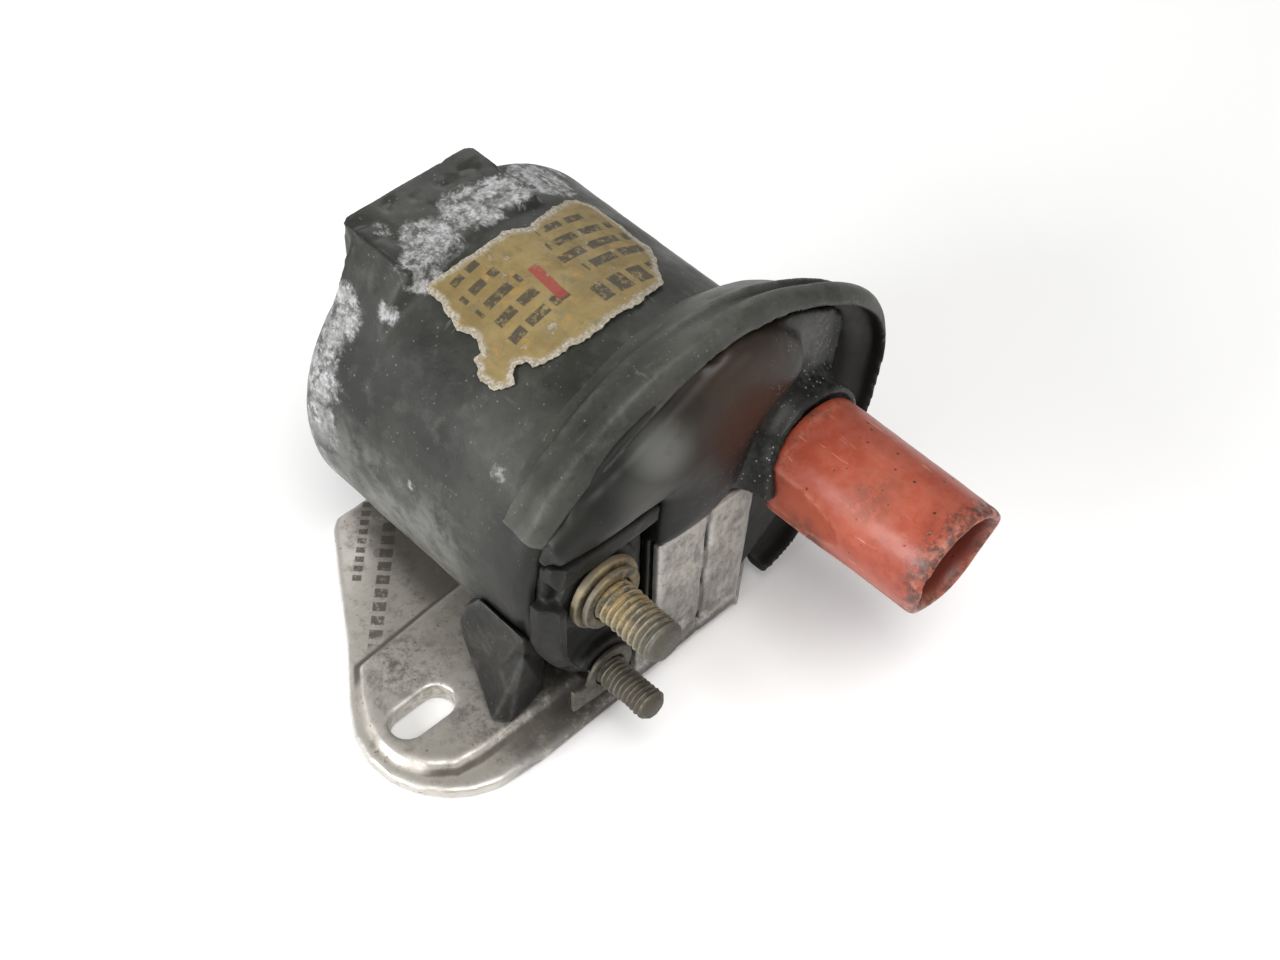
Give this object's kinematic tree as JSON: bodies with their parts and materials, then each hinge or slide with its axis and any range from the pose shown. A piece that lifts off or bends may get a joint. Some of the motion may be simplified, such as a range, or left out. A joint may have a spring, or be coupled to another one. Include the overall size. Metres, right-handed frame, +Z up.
{
  "type": "ignition coil",
  "caption": "Engine ignition coil: black moulded pot on a slotted metal plate, flared front hood, red high-tension tower and threaded terminal studs.",
  "frame": {"origin": "centre of the mounting plate's underside, on the plane that bolts to the car body", "axes": "+Z up out of the plate; -Y the way the high-tension tower and the studs point; +X towards the tower side, along the mounting slots"},
  "size_m": [0.1144, 0.1035, 0.0757],
  "materials": {
    "plate_aluminium": "stamped, stained, worn bright on the edges",
    "black_moulding": "matte moulding with scuffs and pale residue",
    "black_moulding_front": "smoother moulding, dusty",
    "red_moulding": "semi-gloss insulating moulding, scratched",
    "zinc_plated_steel": "yellow-passivated, corroded",
    "contact_brass": "turned",
    "iron_laminations": "stacked sheet iron",
    "rivet_steel": "plain",
    "copper_winding": "enamelled winding wire",
    "bobbin_plastic": "natural nylon",
    "resin": "cast filler",
    "seal_rubber": "moulded",
    "label_paper": "worn printed label with abstract marks only"
  },
  "bodies": {
    "root": {"base_plate": "plate_aluminium", "housing_pot": "black_moulding", "front_hood": "black_moulding", "front_cap": "black_moulding_front", "cap_seal": "seal_rubber", "ht_tower": "red_moulding", "ht_contact": "contact_brass", "terminal_carrier": "black_moulding_front", "stud_large": "zinc_plated_steel", "stud_large_collar": "zinc_plated_steel", "stud_large_washer": "zinc_plated_steel", "stud_small": "zinc_plated_steel", "stud_small_lug": "zinc_plated_steel", "foot_left": "black_moulding", "foot_right": "black_moulding", "foot_rear": "black_moulding", "foot_front": "black_moulding", "rivet_left": "rivet_steel", "rivet_right": "rivet_steel", "rivet_rear": "rivet_steel", "rivet_front": "rivet_steel", "label": "label_paper", "core_laminations": "iron_laminations", "rear_yoke": "iron_laminations", "magnetic_jacket": "iron_laminations", "secondary_bobbin": "bobbin_plastic", "secondary_winding_front": "copper_winding", "secondary_winding_rear": "copper_winding", "primary_bobbin": "bobbin_plastic", "primary_winding": "copper_winding", "rear_insulator": "bobbin_plastic", "potting_compound": "resin", "front_insulator": "bobbin_plastic", "ht_lead": "copper_winding"}
  },
  "joints": []
}
